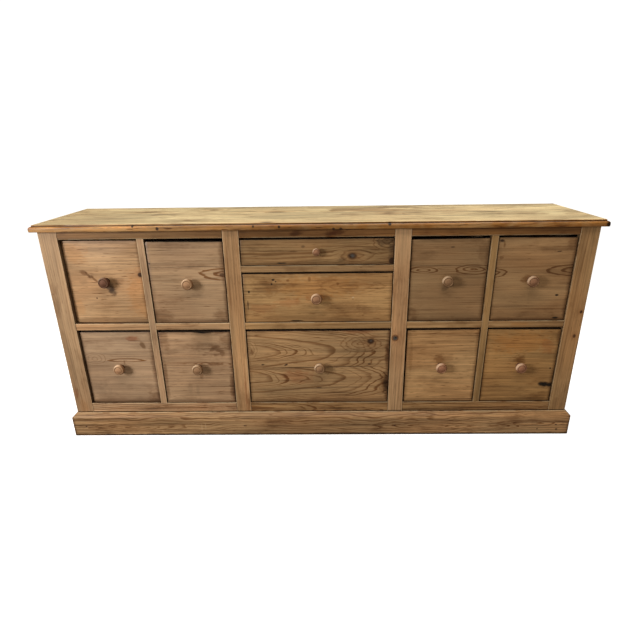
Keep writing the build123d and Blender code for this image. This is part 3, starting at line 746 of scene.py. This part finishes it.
PLINTH_FRONT = dict(
    PLINTH, figures=(
        (460, -8, 260, 20, 3, 1), (-750, -12, 200, 20, 4, 0.7), (850, 0, 140, 18, 2.6, 1), (660, -12, 160, 16, 3, 1)),
    marks=(
        ("lift", (800, 0, 600, 200, 100, 20)), ("dark", (0, -52, 5000, 12, 85, 30)),
        ("pale", (-486, -16, 4, 20, 40, 50, 0.3), (-470, -10, 3, 18, 35, 50, -0.2), (-650, -30, 3, 8, 40, 50)),
        ("brown", (-750, -10, 400, 60, 10, 60), (-303, -6, 6, 5, 80, 20), (310, -6, 6, 5, 80, 20)),
        ("dark", (892, -26, 5, 4, 80, 20), (970, -28, 7, 5, 90, 20)), ("brown", (-900, -10, 100, 20, 50, 50))))
kept_shape("plinth_front", "_board", "xzy", PLINTH_FRONT, 53, PLINTH_ARRIS)
kept_shape("plinth_left", "_board", "yzx", PLINTH, 54, PLINTH_ARRIS)
kept_shape("plinth_right", "_board", "yzx", PLINTH, 55, PLINTH_ARRIS)
END = dict(tone=0.95, warm=0.1, contrast=0.7, spacing=12, onset=0.5, pith=(30, 60), tilt=0.06, wave=20,
           edge=(40, 40, 30, 30), edge_width=14, rub_and_highlight=(0, 0, 25, 40))
kept_shape("left_end_panel", "_board", "zyx", END, 56, BOARD_ARRIS, worn=False)
kept_shape("right_end_panel", "_board", "zyx", END, 57, BOARD_ARRIS, worn=False)

# Drawer fronts
FRONT = dict(contrast=0.24, broad=0.95, streak=0.6, lines=0.45, mid=1, dash=0.6, shade="front", edge_width=12)
FIRST_FRONT_SEED = 61
drawers = []
# Places where a front's top arris is broken away: start and end from its middle, and depth, in millimetres
front_chips = {"left_lower_inner": (-8, 78, 5.5), "centre_middle": (-200, -170, 1.5)}
# The rails under and over a drawer
RAILS_ROUND = {
    "upper": ("middle", "top"), "lower": ("bottom", "middle"),
    "top": ("upper", "top"), "middle": ("middle", "upper"), "bottom": ("bottom", "middle"),
}


def opening_middle(drawer):
    """Height of the middle of a drawer's opening."""
    bank, level = drawer.split("_")[:2]
    under, over = RAILS_ROUND[level]
    return (rail_levels[bank, under][1] + rail_levels[bank, over][0]) / 2


def break_away(vert, chip, middle, top, seed):
    """Moves a place on a front's top arris in, where the arris is broken."""
    start, end, depth = (part * MM for part in chip)
    along = (vert.co[0] - middle - start) / (end - start)
    if 0 < along < 1 and vert.co[2] > top - 12 * MM and vert.normal[2] > 0.12:
        ragged = 0.6 + 0.5 * noise.noise(Vector((along * 9, seed, 0)))
        depth_here = depth * ragged * math.sin(math.pi * along) ** 0.4
        vert.co[2] -= depth_here
        vert.co[1] += 0.5 * depth_here * (1 - vert.normal[2])


def front_board(drawer, **spec):
    node = drawer + "_front"
    seed = FIRST_FRONT_SEED + len(drawers)
    drawers.append(drawer)
    bm, low, high, arrises = cad_board(node)
    soften(bm, [edge for edge in arrises if edge.calc_length() > 30 * MM
                and all(abs(vert.co[1] - low[1]) < NEAR for vert in edge.verts)], FRONT_ARRIS)
    cut_along(bm, 0, FRONT_STEP)
    centre, half = middle_and_half(low, high, "xzy")
    for vert in bm.verts:
        if vert.co[1] > low[1] + 2 * MM:
            continue
        if on_arris(vert.normal):
            vert.co -= vert.normal * FRONT_WEAR * rub_at(vert.co, 21, seed)
        if drawer in front_chips:
            break_away(vert, front_chips[drawer], centre[0], high[2], seed)
    centre[2] = opening_middle(drawer)
    material = wood(node + "_pine", "xzy", centre, half, seed, **dict(FRONT, **spec))
    name = drawer + "_front_board"
    new_piece(name, smooth_mesh(bm, name), drawer + "_drawer", node, material)


front_board(
    "left_upper_outer", tone=1.1, warm=-0.3, contrast=0.2, blotch=0.3, mid=1.5, dash=0.9, edge=(30, 45, 30, 35),
    knots=((131, 26, 7, 1, 4, 1),), marks=(
        ("brown", (-78, 36, 18, 11, 85, 50, -0.2), (-64, 29, 11, 10, 80, 40, -1.2), (-54, 21, 15, 6, 75, 40, 0.2),
         (-42, 11, 14, 8, 85, 40, -0.9)), ("orange", (120, -60, 60, 130, 50, 50), (-100, 110, 60, 50, 40, 50)),
        ("grey", (-85, 0, 20, 10, 30, 50)), ("dark", (-46, -63, 4, 4, 90, 20)),
        # The grey marks below right of the knob are a stain and a painted shadow of the knob; the brown mark at 50, 4,
        # right of the knob, is a painted shadow of the knob
        ("brown", (-25, -63, 30, 1.4, 50, 20)), ("grey", (12, -20, 24, 30, 90, 15, -0.5),
         (17, -38, 17, 24, 75, 40, -0.5)), ("brown", (22, -50, 18, 6, 50, 40, 0.3), (50, 4, 26, 16, 40, 30)),
        ("orange", (-120, -100, 30, 50, 35, 60))))
front_board(
    "left_upper_inner", tone=1.05, warm=-0.25, grey=0.4, edge=(50, 60, 50, 50), knots=((129, 26, 5, 1.6, 3, 0.6),),
    figures=((155, 30, 112, 24, 2, 1.5),), marks=(
        ("dark", (0, 58, 200, 2.6, 55, 20, 0.01)), ("brown", (20, 64, 200, 1.2, 50, 10), (-115, -130, 50, 35, 55, 50),
         (115, -130, 40, 30, 50, 50), (-60, 135, 120, 14, 40, 40), (130, 80, 14, 60, 40, 50),
         (0, -20, 60, 2, 50, 20)), ("grey", (30, -50, 30, 20, 30, 60)), ("dark", (-134, 72, 4, 5, 90, 20))))
front_board(
    "left_lower_outer", tone=1.13, warm=-0.5, grey=0.5, contrast=0.2, mid=0.7, dash=0.4, edge=(40, 65, 60, 40),
    figures=((25, 28, 118, 11, 1.6, 1.3), (-100, 38, 45, 24, 3, 0.45)), marks=(
        ("red", (64, 122, 32, 14, 95, 25)), ("brown", (66, 113, 30, 3, 60, 30), (100, 92, 12, 20, 80, 40, -0.6),
         (16, 18, 4, 14, 60, 20), (125, -140, 40, 40, 60, 50), (130, 0, 12, 120, 45, 50),
         (20, -55, 150, 1.4, 45, 10)), ("grey", (-100, -100, 50, 50, 30, 70))))
front_board(
    "left_lower_inner", tone=1.14, warm=-0.4, grey=0.4, blotch=0.5, mid=1.2, dash=0.8, edge=(55, 70, 50, 65),
    figures=((75, 12, 60, 9, 2, 0.8), (-90, 14, 80, 8, 2, 0.6)), marks=(
        ("brown", (80, 68, 45, 45, 30, 90), (68, 78, 16, 12, 55, 80, 0.5), (94, 70, 18, 8, 60, 80, -0.2),
         (76, 52, 22, 7, 55, 80, 0.1), (86, 88, 12, 7, 50, 80), (100, 56, 10, 10, 50, 80)),
        ("black", (36, 146, 46, 4, 95, 50, -0.03)), ("brown", (100, 150, 50, 12, 70, 40), (0, 18, 200, 2.6, 95, 20),
         (0, 7, 200, 1.6, 70, 10, -0.02), (75, 12, 45, 4.5, 80, 40)), ("grey", (-40, -90, 10, 40, 20, 80),
         (-10, -110, 8, 30, 20, 80)), ("brown", (10, -36, 12, 24, 60, 40), (130, -90, 14, 90, 70, 50),
         (-120, 120, 30, 50, 50, 60), (120, 110, 30, 30, 50, 60), (-130, -40, 8, 100, 50, 50))))
front_board(
    "centre_top", tone=0.76, warm=0.5, grey=0.1, contrast=0.95, spacing=10, onset=0.5, faint=0.3, pith=(260, 80),
    wave=18, edge=(45, 50, 45, 40), knots=((127, -19, 11, 1.35, 34, 0.75), (272, -38, 8, 1, 6, 1)),
    figures=((140, -18, 75, 30, 2.5, 0.55), (250, 35, 50, 30, 3, 0.7)), marks=(
        ("slate", (128, -18, 10, 9, 85, 30)), ("black", (122, -22, 6, 4, 70, 40)),
        ("brown", (-200, 26, 100, 2, 70, 20, 0.01), (190, -5, 60, 2.6, 80, 20, -0.25),
         (200, 12, 60, 2.2, 70, 20, -0.1)), ("grey", (247, 35, 40, 26, 75, 70), (268, 0, 16, 40, 60, 70),
         (-50, 17, 10, 6, 70, 30)), ("brown", (-170, 0, 120, 1.8, 70, 20), (-85, 0, 20, 3, 80, 20)),
        ("black", (-130, -43, 26, 3, 95, 30)), ("grey", (90, -30, 20, 12, 50, 60)),
        ("brown", (30, 30, 200, 1.4, 50, 10, -0.02))))
front_board(
    "centre_middle", tone=1.06, warm=0.6, contrast=0.35, blotch=0.6, mid=1.3, dash=0.8, edge=(50, 40, 30, 40),
    figures=((120, 40, 130, 30, 3, 0.35),), marks=(
        ("black", (-164, 69, 7, 6, 95, 30), (-170, 53, 5, 5, 90, 30), (-155, 62, 4, 4, 90, 30),
         (-256, 23, 6, 6, 95, 30)), ("dark", (-263, -30, 4, 22, 70, 40)), ("brown", (-110, 66, 7, 6, 70, 20),
         (-30, 70, 8, 14, 70, 30), (75, 52, 7, 8, 70, 20)), ("pale", (132, -2, 6, 4, 90, 20)),
        ("brown", (132, -8, 6, 3, 70, 20)), ("orange", (0, 40, 200, 60, 50, 50)),
        ("brown", (-190, 40, 70, 45, 40, 80), (30, 70, 50, 20, 40, 70), (100, -50, 120, 30, 25, 80)),
        ("red", (-100, -20, 80, 20, 50, 80)), ("brown", (-200, 35, 90, 4, 50, 40)),
        ("red", (-200, -40, 70, 30, 40, 90), (0, 0, 50, 20, 45, 80)), ("brown", (-20, -65, 20, 5, 50, 30)),
        # The black mark at -80, -93 on the bottom edge is painted shade of the gap under the front
        ("black", (-80, -93, 30, 3, 95, 30)), ("brown", (170, -73, 8, 4, 70, 20), (30, 40, 200, 1.6, 50, 20, -0.1))))
front_board(
    "centre_bottom", tone=1.03, warm=0.1, contrast=1.25, spacing=10, onset=0.58, faint=0.5, mid=1.3, dash=0.8,
    pith=(64, 50), tilt=0.2, wave=26, blotch=0.35, lower=(-3, -50, 50, 0.16), edge=(45, 75, 45, 50),
    knots=((204, 107, 10, 1.3, 20, 0.95),), figures=((165, 98, 85, 36, 4, 0.6), (-270, 75, 30, 40, 3, 0.5)), marks=(
        ("slate", (205, 108, 7, 6, 60, 40)), ("dark", (0, -4, 300, 2, 95, 5, 0.01), (-221, 8, 8, 4, 95, 20),
         (-129, 7, 8, 4, 90, 30, 0.4), (199, 9, 7, 3, 95, 20)), ("brown", (-260, 62, 12, 14, 60, 40)),
        ("red", (-90, -45, 90, 36, 60, 50)), ("brown", (264, -70, 20, 60, 90, 60)),
        ("grey", (268, -80, 12, 50, 80, 60)), ("brown", (268, 40, 10, 60, 70, 40)),
        ("red", (150, 147, 100, 12, 60, 40)), ("dark", (0, -96, 14, 3, 70, 30))))
front_board(
    "right_upper_inner", tone=0.8, warm=0.15, grey=0.15, mid=0.7, dash=0.4, edge=(40, 55, 50, 40),
    figures=((0, 42, 220, 22, 3, 0.5), (-90, 37, 60, 14, 2.1, 1.6), (92, 39, 75, 21, 2.9, 1.5)), marks=(
        ("brown", (0, 97, 200, 1.4, 60, 10)), ("dark", (0, 52, 200, 2.4, 50, 20, -0.01), (8, 121, 10, 2.5, 80, 20)),
        ("grey", (-10, -35, 20, 18, 45, 50)), ("brown", (120, 100, 25, 50, 40, 50), (20, 20, 200, 1.4, 50, 10, 0.01),
         (-125, -130, 25, 40, 50, 50))))
front_board(
    "right_upper_outer", tone=0.91, warm=0.1, mid=0.7, dash=0.45, edge=(40, 65, 55, 50),
    figures=((155, 32, 105, 22, 2, 1.5), (-150, 24, 55, 18, 2, 1.4)), marks=(
        ("dark", (82, 102, 12, 2.5, 95, 20, 0.1)), ("black", (98, -63, 8, 5, 97, 30), (106, -153, 14, 5, 90, 30)),
        ("brown", (-118, 128, 7, 14, 80, 40)), ("dark", (-128, 143, 10, 6, 90, 40)),
        ("brown", (120, 130, 30, 30, 60, 50), (-22, -4, 24, 22, 80, 50), (-125, 80, 12, 12, 60, 50),
         (0, 47, 200, 1.4, 55, 10, 0.02), (60, 10, 100, 1.4, 50, 10, -0.05))))
front_board(
    "right_lower_inner", tone=1.31, warm=0.27, contrast=0.25, mid=1.5, dash=0.9, edge=(55, 45, 40, 40), marks=(
        ("brown", (-4, 26, 28, 32, 70, 50), (20, 30, 30, 20, 35, 60), (100, -30, 20, 1.6, 60, 20),
         (60, 30, 8, 6, 40, 30), (-120, 30, 10, 100, 40, 50)),))
front_board(
    "right_lower_outer", tone=1.12, warm=0.85, mid=1.3, dash=0.8, edge=(45, 60, 45, 55), marks=(
        ("black", (98, -84, 16, 14, 95, 5), (112, -87, 17, 15, 96, 5), (130, -88, 20, 13, 96, 5),
         (123, -15, 5, 5, 95, 20)), ("brown", (0, -12, 200, 2, 60, 10, -0.03), (0, -34, 200, 1.4, 50, 10, -0.02),
         (-2, 24, 28, 32, 80, 50)), ("grey", (-20, 20, 30, 12, 40, 50)), ("orange", (0, 100, 140, 60, 50, 50)),
        ("red", (100, 80, 40, 40, 50, 50)), ("brown", (100, -140, 50, 25, 50, 50), (60, -20, 60, 1.6, 60, 20, -0.15))))


# Unfinished pine inside the case and in the drawers
def dress(node, material):
    """Gives a CAD node a material, and keeps its mesh."""
    nodes[node].data.materials.clear()
    nodes[node].data.materials.append(material)


def raw_box_material(name, box_top, box_front):
    """Drawer sides with the grain from front to back, drawer backs and bottoms with the grain across."""
    n = Nodes(name)
    coords = n.coordinates()
    x, y, z = n.separate(coords["Object"])
    face_x, _, face_z = n.separate(coords["Normal"])
    side = n.math("GREATER_THAN", n.math("ABSOLUTE", face_x), 0.7)
    flat = n.math("GREATER_THAN", n.math("ABSOLUTE", face_z), 0.7)
    u = n.madd(side, n.sub(y, x), x)
    v = n.madd(flat, n.sub(y, z), z)
    w = n.madd(side, n.sub(x, y), y)
    grain = n.combine(u, v, n.mul(w, 3))
    wander = n.noise(grain, (1.5, 5, 5))
    late = n.band(n.madd(wander, 9, n.mul(v, 110)), 0.4, 0.9, 0.93)
    fibres = n.noise(grain, (14, 420, 60))
    clouds = n.noise(grain, (3, 9, 9), 3)
    colour = n.mix(n.mul(late, 0.5), RAW_EARLY, RAW_LATE)
    light = n.madd(fibres, 0.3, n.madd(clouds, 0.7, 0.5))
    colour = n.tint(1, colour, n.combine(light, light, light))
    dirt = n.smooth(n.noise(grain, (9, 16, 16), 5, 0.62), 0.5, 0.75)
    colour = n.tint(n.mul(dirt, 0.5), colour, STAIN)
    # Top of the drawer sides near the front darkened: hand dirt, and painted shade that keeps lamp light through the
    # gaps over the fronts from showing
    near_top = n.smooth(z, box_top - 30 * MM, box_top - 8 * MM)
    handled_and_shaded = n.mul(near_top, n.smooth(y, box_front + 110 * MM, box_front + 40 * MM))
    colour = n.tint(n.mul(handled_and_shaded, 0.92), colour, HAND_DIRT_AND_SHADE)
    height = n.madd(late, 0.4, n.madd(fibres, 0.5, clouds))
    return n.finish(colour, n.madd(clouds, 0.3, 0.5), height, specular=0.25)


# One material for the drawer boxes of about one height
BOX_LEVEL = 20 * MM
box_levels = {}
for drawer in drawers:
    box_low, box_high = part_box(drawer + "_box")
    level = round(box_high[2] / BOX_LEVEL)
    if level not in box_levels:
        box_levels[level] = raw_box_material("drawer_box_pine_" + str(level), box_high[2], box_low[1])
    dress(drawer + "_box", box_levels[level])

RAW = dict(warm=-0.1, grey=0.25, contrast=0.5, spacing=9, wave=12, rough=0.62, pith=(160, 200))
ORIGIN = (0, 0, 0)
along_x = wood("raw_pine_along_x", "xzy", ORIGIN, (1, 1), 101, **RAW)
along_y = wood("raw_pine_along_y", "yzx", ORIGIN, (1, 1), 102, **RAW)
for node in ("base_board", "back_rails", "drawer_stops"):
    dress(node, along_x)
for node in ("base_bearers", "drawer_runners", "drawer_guides", "drawer_kickers", "left_partition", "right_partition"):
    dress(node, along_y)
BACK_BOARDS = 11
back_centre, (_, back_half) = middle_and_half(*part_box("back_boards"), "zxy")
back_spec = dict(RAW, tone=0.92, contrast=0.7, onset=0.5, spacing=12, pith=(10, 50), wave=20,
                 lanes=(-back_half, 2 * back_half / BACK_BOARDS))
dress("back_boards", wood("back_boards_pine", "zxy", back_centre, (1, 2), 103, **back_spec))


# Knobs
def knob_material(name, centre, radius, tone, red, seed):
    n = Nodes(name)
    coords = n.coordinates()
    place = n.vector("SUBTRACT", coords["Object"], centre)
    grain = n.vector("ADD", place, tuple(seed * part for part in KNOB_SHIFT))
    x, y, z = n.separate(place)
    slow = n.noise(grain, (30, 12, 30))
    far = n.hypot(x, n.sub(z, 0.04))
    line = n.band(n.madd(slow, 1.6, n.mul(far, 420)), 0.2, 0.85, 0.9)
    colour = n.mix(n.mul(line, 0.4), n.mix(red, KNOB_PALE, KNOB_RED), KNOB_LATE)
    light = n.mul(n.madd(n.noise(grain, (60, 60, 60), 4), 0.7, 0.65), tone)
    colour = n.tint(1, colour, n.combine(light, light, light))
    across = n.hypot(x, z)
    worn = n.smooth(n.madd(slow, 0.008, across), 0.012, 0.022, 0, 0.06)
    colour = n.mix(worn, colour, n.tint(1, KNOB_WORN, (tone, tone, tone)))
    # Darker at the neck next to the front: dirt, and painted shade under the knob's head
    neck = n.smooth(y, -0.016, -0.002, 0, 0.9)
    colour = n.tint(n.mul(neck, n.madd(slow, 0.5, 0.6)), colour, KNOB_NECK_DIRT_AND_SHADE)
    face_x, _, face_z = n.separate(coords["Normal"])
    # The underside and the right side of the knob, turned away from the window, painted darker: painted shade
    under = n.smooth(face_z, 0.1, -0.6, 0, 0.8)
    turned_away = n.smooth(face_x, 0.15, 0.75, 0, 0.6)
    colour = n.tint(n.math("MAXIMUM", under, turned_away), colour, KNOB_PAINTED_SHADE)
    share = n.mul(across, 1 / radius)
    # Darker in the turned groove
    groove = n.bell(n.sub(share, 0.69), 0.10)
    colour = n.tint(n.mul(groove, 0.5), colour, KNOB_GROOVE_DARK)
    # A painted highlight on the upper left of the rim, facing the window
    rim_highlight = n.smooth(n.mul(n.sub(face_z, face_x), 0.7), 0.25, 0.75, 0, 0.6)
    rim_highlight = n.mul(rim_highlight, n.smooth(share, 0.74, 0.82))
    colour = n.mix(rim_highlight, colour, n.tint(1, KNOB_PAINTED_HIGHLIGHT, (tone, tone, tone)))
    colour = n.tint(n.smooth(share, 0.3, 0.76, 0.6, 0), colour, KNOB_HANDLED)
    height = n.madd(slow, 0.6, n.mul(line, 0.3))
    return n.finish(colour, n.madd(slow, 0.25, 0.5), height, bump=0.3, specular=0.18)


# Tone of each knob and how red it is, in the order of the drawers
KNOBS = (
    (0.5, 0.9), (1.2, 0.15), (1.35, 0.2), (1.05, 0.1),
    (1, 0.6), (1.15, 0.4), (1.05, 0.1),
    (0.9, 0.1), (1, 0.5), (1.2, 0.8), (1.2, 0.8),
)
for seed, (drawer, (tone, red)) in enumerate(zip(drawers, KNOBS), 121):
    node = drawer + "_knob"
    (middle_x, _, middle_z), (radius, _) = middle_and_half(*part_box(node), "xzy")
    front_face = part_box(drawer + "_front")[0][1]
    centre = (middle_x, front_face, middle_z)
    dress(node, knob_material(node + "_wood", centre, radius, tone, red, seed))

# Nails
iron = Nodes("old_iron")
rust = iron.noise(iron.coordinates()["Object"], (900, 900, 900), 3)
iron_colour = iron.mix(iron.smooth(rust, 0.4, 0.65), IRON, RUST)
dress("nails", iron.finish(iron_colour, iron.madd(rust, 0.3, 0.5), rust, bump=0.4))

# Stage: a pale floor that sweeps up into a wall all round
FLOOR_REACH = 3.8
SWEEP_RADIUS = 1.2
SWEEP_STEPS = 12
SWEEP_SIDES = 96
WALL_HEIGHT = 5.5
profile = [(0, 0), (1, 0), (2.2, 0), (FLOOR_REACH, 0)]
for i in range(1, SWEEP_STEPS + 1):
    angle = math.radians(90 * i / SWEEP_STEPS)
    profile.append((FLOOR_REACH + SWEEP_RADIUS * math.sin(angle), SWEEP_RADIUS - SWEEP_RADIUS * math.cos(angle)))
profile.append((FLOOR_REACH + SWEEP_RADIUS, WALL_HEIGHT))
turns = [2 * math.pi * i / SWEEP_SIDES for i in range(SWEEP_SIDES)]
sweep = bmesh.new()
rows = [[sweep.verts.new((radius * math.cos(turn), radius * math.sin(turn), height)) for turn in turns]
        for radius, height in profile]
for inner, outer in zip(rows, rows[1:]):
    for i in range(SWEEP_SIDES):
        after = (i + 1) % SWEEP_SIDES
        face = sweep.faces.new((inner[i], outer[i], outer[after], inner[after]))
        face.smooth = True
bmesh.ops.remove_doubles(sweep, verts=sweep.verts, dist=MERGE)
floor_mesh = bpy.data.meshes.new("floor")
sweep.to_mesh(floor_mesh)
sweep.free()
floor = bpy.data.objects.new("floor", floor_mesh)
scene.collection.objects.link(floor)
paper = Nodes("pale_floor")
paper_grain = paper.noise(paper.coordinates()["Object"], (3, 3, 3), 3)
paper_colour = paper.mix(paper.mul(paper_grain, 0.3), (0.93, 0.93, 0.93), (0.89, 0.89, 0.88))
floor_mesh.materials.append(paper.finish(paper_colour, 0.9, paper_grain, bump=0.02, specular=0.1, glow=0.85))
floor.visible_diffuse = floor.visible_glossy = floor.visible_shadow = False


# Light
def area_light(name, place, target, size, power, colour):
    data = bpy.data.lights.new(name, "AREA")
    data.shape = "RECTANGLE"
    data.size, data.size_y = size
    data.energy = power
    data.color = colour
    lamp = bpy.data.objects.new(name, data)
    lamp.location = place
    lamp.rotation_euler = (Vector(target) - Vector(place)).to_track_quat("-Z", "Y").to_euler()
    scene.collection.objects.link(lamp)


area_light("window", (-2.35, -1.95, 1.4), (-0.2, -0.2, 0.45), (0.8, 0.9), 55, WHITE)
area_light("ceiling", (0, -1.3, 2.7), (0, -0.15, 0.4), (2.2, 0.8), 21, (1, 0.96, 0.90))
area_light("skylight", (0, 0.6, 2.6), (0, 0.05, 0.87), (3.2, 0.8), 38, (0.98, 1, 1))

world = bpy.data.worlds.new("studio")
world.use_nodes = True
background = world.node_tree.nodes["Background"]
background.inputs["Color"].default_value = (1, 0.86, 0.70, 1)
background.inputs["Strength"].default_value = 0.18
scene.world = world

# Camera, at the photo's place
YAW, PITCH, ROLL = (math.radians(value) for value in (-0.93, 21.11, 0.77))
CAMERA_X, CAMERA_AWAY, CAMERA_HEIGHT = 0.03498, 1.67321, 1.1491
SENSOR, LENS, CLIP_START = 36, 26.54, 0.05
forward = Vector((math.sin(YAW) * math.cos(PITCH), math.cos(YAW) * math.cos(PITCH), -math.sin(PITCH)))
right = Vector((math.cos(YAW), -math.sin(YAW), 0))
down = forward.cross(right)
rolled_right = math.cos(ROLL) * right + math.sin(ROLL) * down
rolled_down = -math.sin(ROLL) * right + math.cos(ROLL) * down
camera_data = bpy.data.cameras.new("photo_camera")
camera_data.sensor_width = SENSOR
camera_data.lens = LENS
camera_data.clip_start = CLIP_START
camera = bpy.data.objects.new("photo_camera", camera_data)
turned = Matrix((rolled_right, -rolled_down, -forward)).transposed()
camera.matrix_world = Matrix.Translation((CAMERA_X, CASE_FRONT - CAMERA_AWAY, CAMERA_HEIGHT)) @ turned.to_4x4()
scene.collection.objects.link(camera)
scene.camera = camera

scene.view_settings.view_transform = "Standard"
